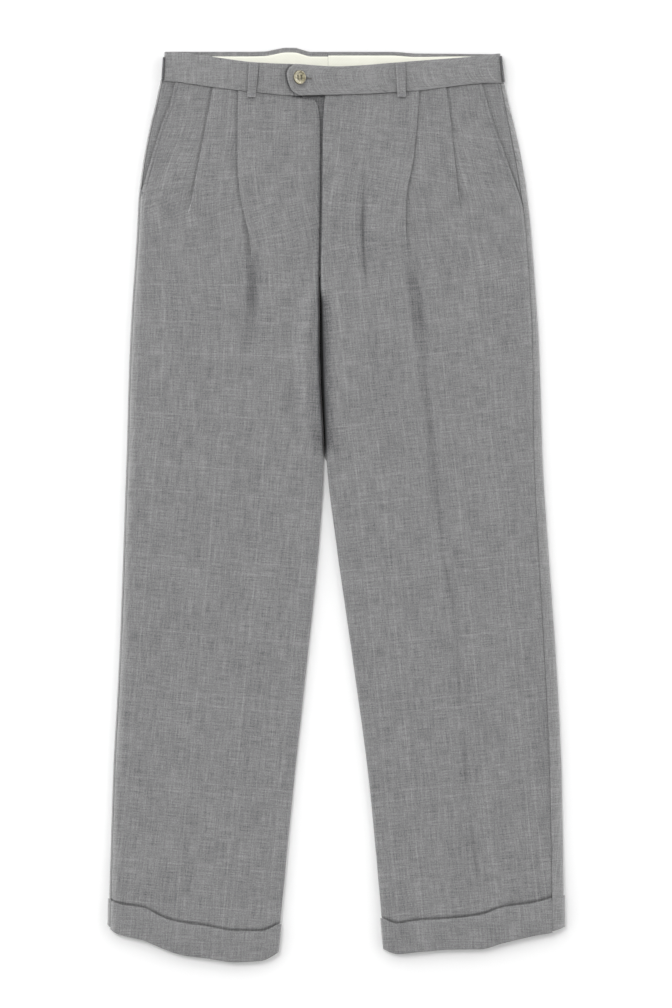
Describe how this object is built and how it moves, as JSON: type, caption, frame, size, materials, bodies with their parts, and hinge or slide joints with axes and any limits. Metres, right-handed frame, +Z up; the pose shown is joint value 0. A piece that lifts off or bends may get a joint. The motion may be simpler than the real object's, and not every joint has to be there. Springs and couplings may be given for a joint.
{
  "type": "pleated dress trousers",
  "caption": "Men's pleated dress trousers with turn-ups and a buttoned waistband tab, laid flat with the front up.",
  "frame": {"origin": "centre of the trousers' outline, on the surface that they lie on", "axes": "+X towards the wearer's left, +Y up the garment towards the waist, +Z up from the surface"},
  "size_m": [0.5491, 1.0966, 0.0178],
  "materials": {
    "suiting": "mid-grey melange wool-blend suiting, matt, with a faint check",
    "lining": "smooth cream cotton lining",
    "button": "horn-coloured resin, satin, four holes"
  },
  "bodies": {
    "root": {"front_left": "suiting", "front_right": "suiting", "back_left": "suiting", "back_right": "suiting", "waistband_left": "suiting", "waistband_right": "suiting", "waistband_lining_left": "lining", "waistband_lining_right": "lining", "belt_loop_front_left": "suiting", "belt_loop_front_right": "suiting", "belt_loop_side_left": "suiting", "belt_loop_side_right": "suiting", "belt_loop_back": "suiting", "waist_button": "button", "pocket_facing_left": "suiting", "pocket_facing_right": "suiting", "fly_shield": "suiting", "cuff_front_left": "suiting", "cuff_front_right": "suiting", "cuff_back_left": "suiting", "cuff_back_right": "suiting"}
  },
  "joints": []
}
